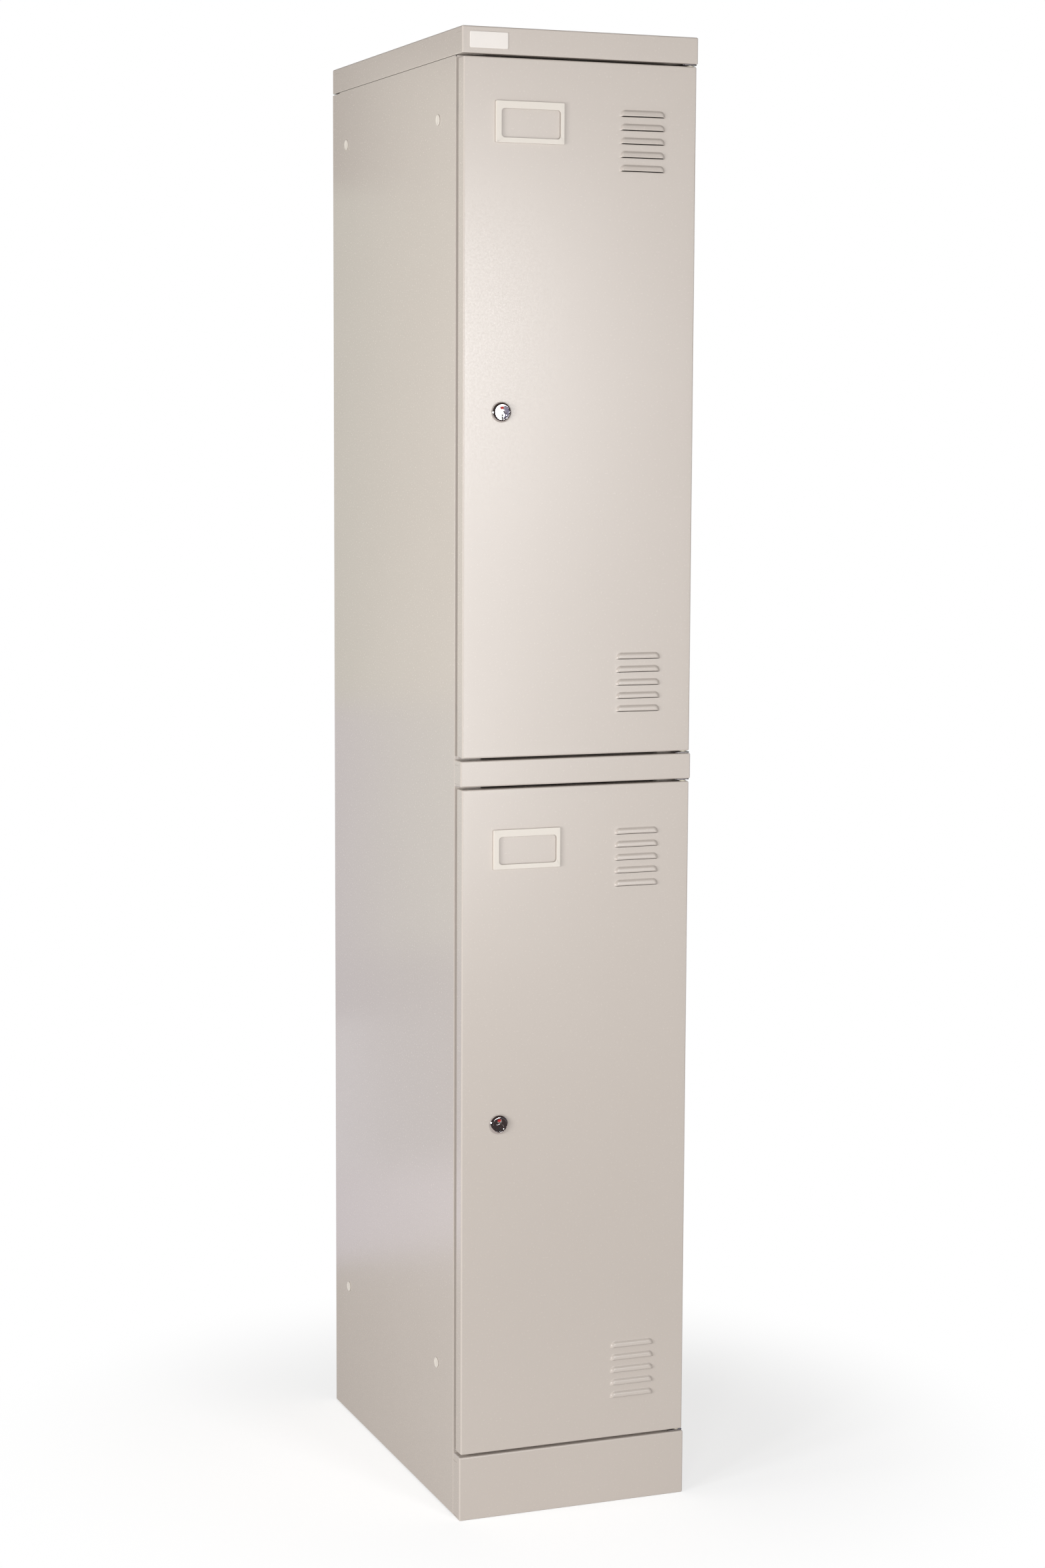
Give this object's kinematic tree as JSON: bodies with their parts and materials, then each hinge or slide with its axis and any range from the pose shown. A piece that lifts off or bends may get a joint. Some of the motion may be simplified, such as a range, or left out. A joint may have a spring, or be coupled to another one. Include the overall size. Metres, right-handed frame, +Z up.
{
  "type": "clothes locker",
  "caption": "Tall narrow sheet-steel clothes locker with an upper and a lower louvred door, each on pin hinges with a label holder and a cam lock, over a plinth.",
  "frame": {"origin": "on the floor, at the middle of the locker's outline", "axes": "+Z up, -Y the way the doors face, +X to the right of someone facing the doors, which is the hinge side"},
  "size_m": [0.3024, 0.5042, 1.8],
  "materials": {
    "powder_coat": "satin powder coat, light warm grey",
    "cream_plastic": "moulded, semi-matt",
    "chrome": "polished",
    "zinc_plate": "zinc plated",
    "nylon": "natural nylon",
    "white_plastic": "smooth",
    "red_plastic": "smooth",
    "rubber": "matt"
  },
  "bodies": {
    "cabinet": {"top_cap": "powder_coat", "middle_rail": "powder_coat", "plinth": "powder_coat", "side_panel_left": "powder_coat", "side_panel_right": "powder_coat", "back_panel": "powder_coat", "middle_shelf": "powder_coat", "floor_panel": "powder_coat", "blank_plate": "white_plastic", "hole_plug_left_lower_front": "cream_plastic", "hole_plug_left_lower_rear": "cream_plastic", "hole_plug_left_upper_front": "cream_plastic", "hole_plug_left_upper_rear": "cream_plastic", "hole_plug_right_lower_front": "cream_plastic", "hole_plug_right_lower_rear": "cream_plastic", "hole_plug_right_upper_front": "cream_plastic", "hole_plug_right_upper_rear": "cream_plastic", "lower_bottom_buffer": "rubber", "lower_top_buffer": "rubber", "upper_bottom_buffer": "rubber", "upper_top_buffer": "rubber", "lower_coat_rail": "chrome", "upper_coat_rail": "chrome", "lower_rail_cup_left": "zinc_plate", "lower_rail_cup_right": "zinc_plate", "upper_rail_cup_left": "zinc_plate", "upper_rail_cup_right": "zinc_plate", "lower_bottom_hinge_plate": "zinc_plate", "lower_bottom_hinge_pin": "zinc_plate", "lower_top_hinge_plate": "zinc_plate", "lower_top_hinge_pin": "zinc_plate", "upper_bottom_hinge_plate": "zinc_plate", "upper_bottom_hinge_pin": "zinc_plate", "upper_top_hinge_plate": "zinc_plate", "upper_top_hinge_pin": "zinc_plate"},
    "lower_door": {"lower_door": "powder_coat", "lower_door_stiffener": "powder_coat", "lower_label_holder": "cream_plastic", "lower_bottom_bush": "nylon", "lower_top_bush": "nylon", "lower_lock_body": "chrome", "lower_lock_nut": "zinc_plate", "lower_window_plate": "white_plastic"},
    "upper_door": {"upper_door": "powder_coat", "upper_door_stiffener": "powder_coat", "upper_label_holder": "cream_plastic", "upper_bottom_bush": "nylon", "upper_top_bush": "nylon", "upper_lock_body": "chrome", "upper_lock_nut": "zinc_plate", "upper_window_plate": "white_plastic"},
    "lower_lock": {"lower_lock_plug": "chrome", "lower_indicator_flag": "red_plastic", "lower_cam": "zinc_plate", "lower_cam_screw": "zinc_plate"},
    "upper_lock": {"upper_lock_plug": "chrome", "upper_indicator_flag": "red_plastic", "upper_cam": "zinc_plate", "upper_cam_screw": "zinc_plate"}
  },
  "joints": [
    {"name": "lower_door_hinge", "type": "hinge", "parent": "cabinet", "child": "lower_door", "pos_m": [0.142, -0.24185, 0.0837], "axis": [0, 0, 1], "range_deg": [0, 110]},
    {"name": "upper_door_hinge", "type": "hinge", "parent": "cabinet", "child": "upper_door", "pos_m": [0.142, -0.24185, 0.9435], "axis": [0, 0, 1], "range_deg": [0, 110]},
    {"name": "lower_lock_turn", "type": "hinge", "parent": "lower_door", "child": "lower_lock", "pos_m": [-0.1, -0.24785, 0.49115], "axis": [0, 1, 0], "range_deg": [0, 90]},
    {"name": "upper_lock_turn", "type": "hinge", "parent": "upper_door", "child": "upper_lock", "pos_m": [-0.1, -0.24785, 1.35095], "axis": [0, 1, 0], "range_deg": [0, 90]}
  ]
}
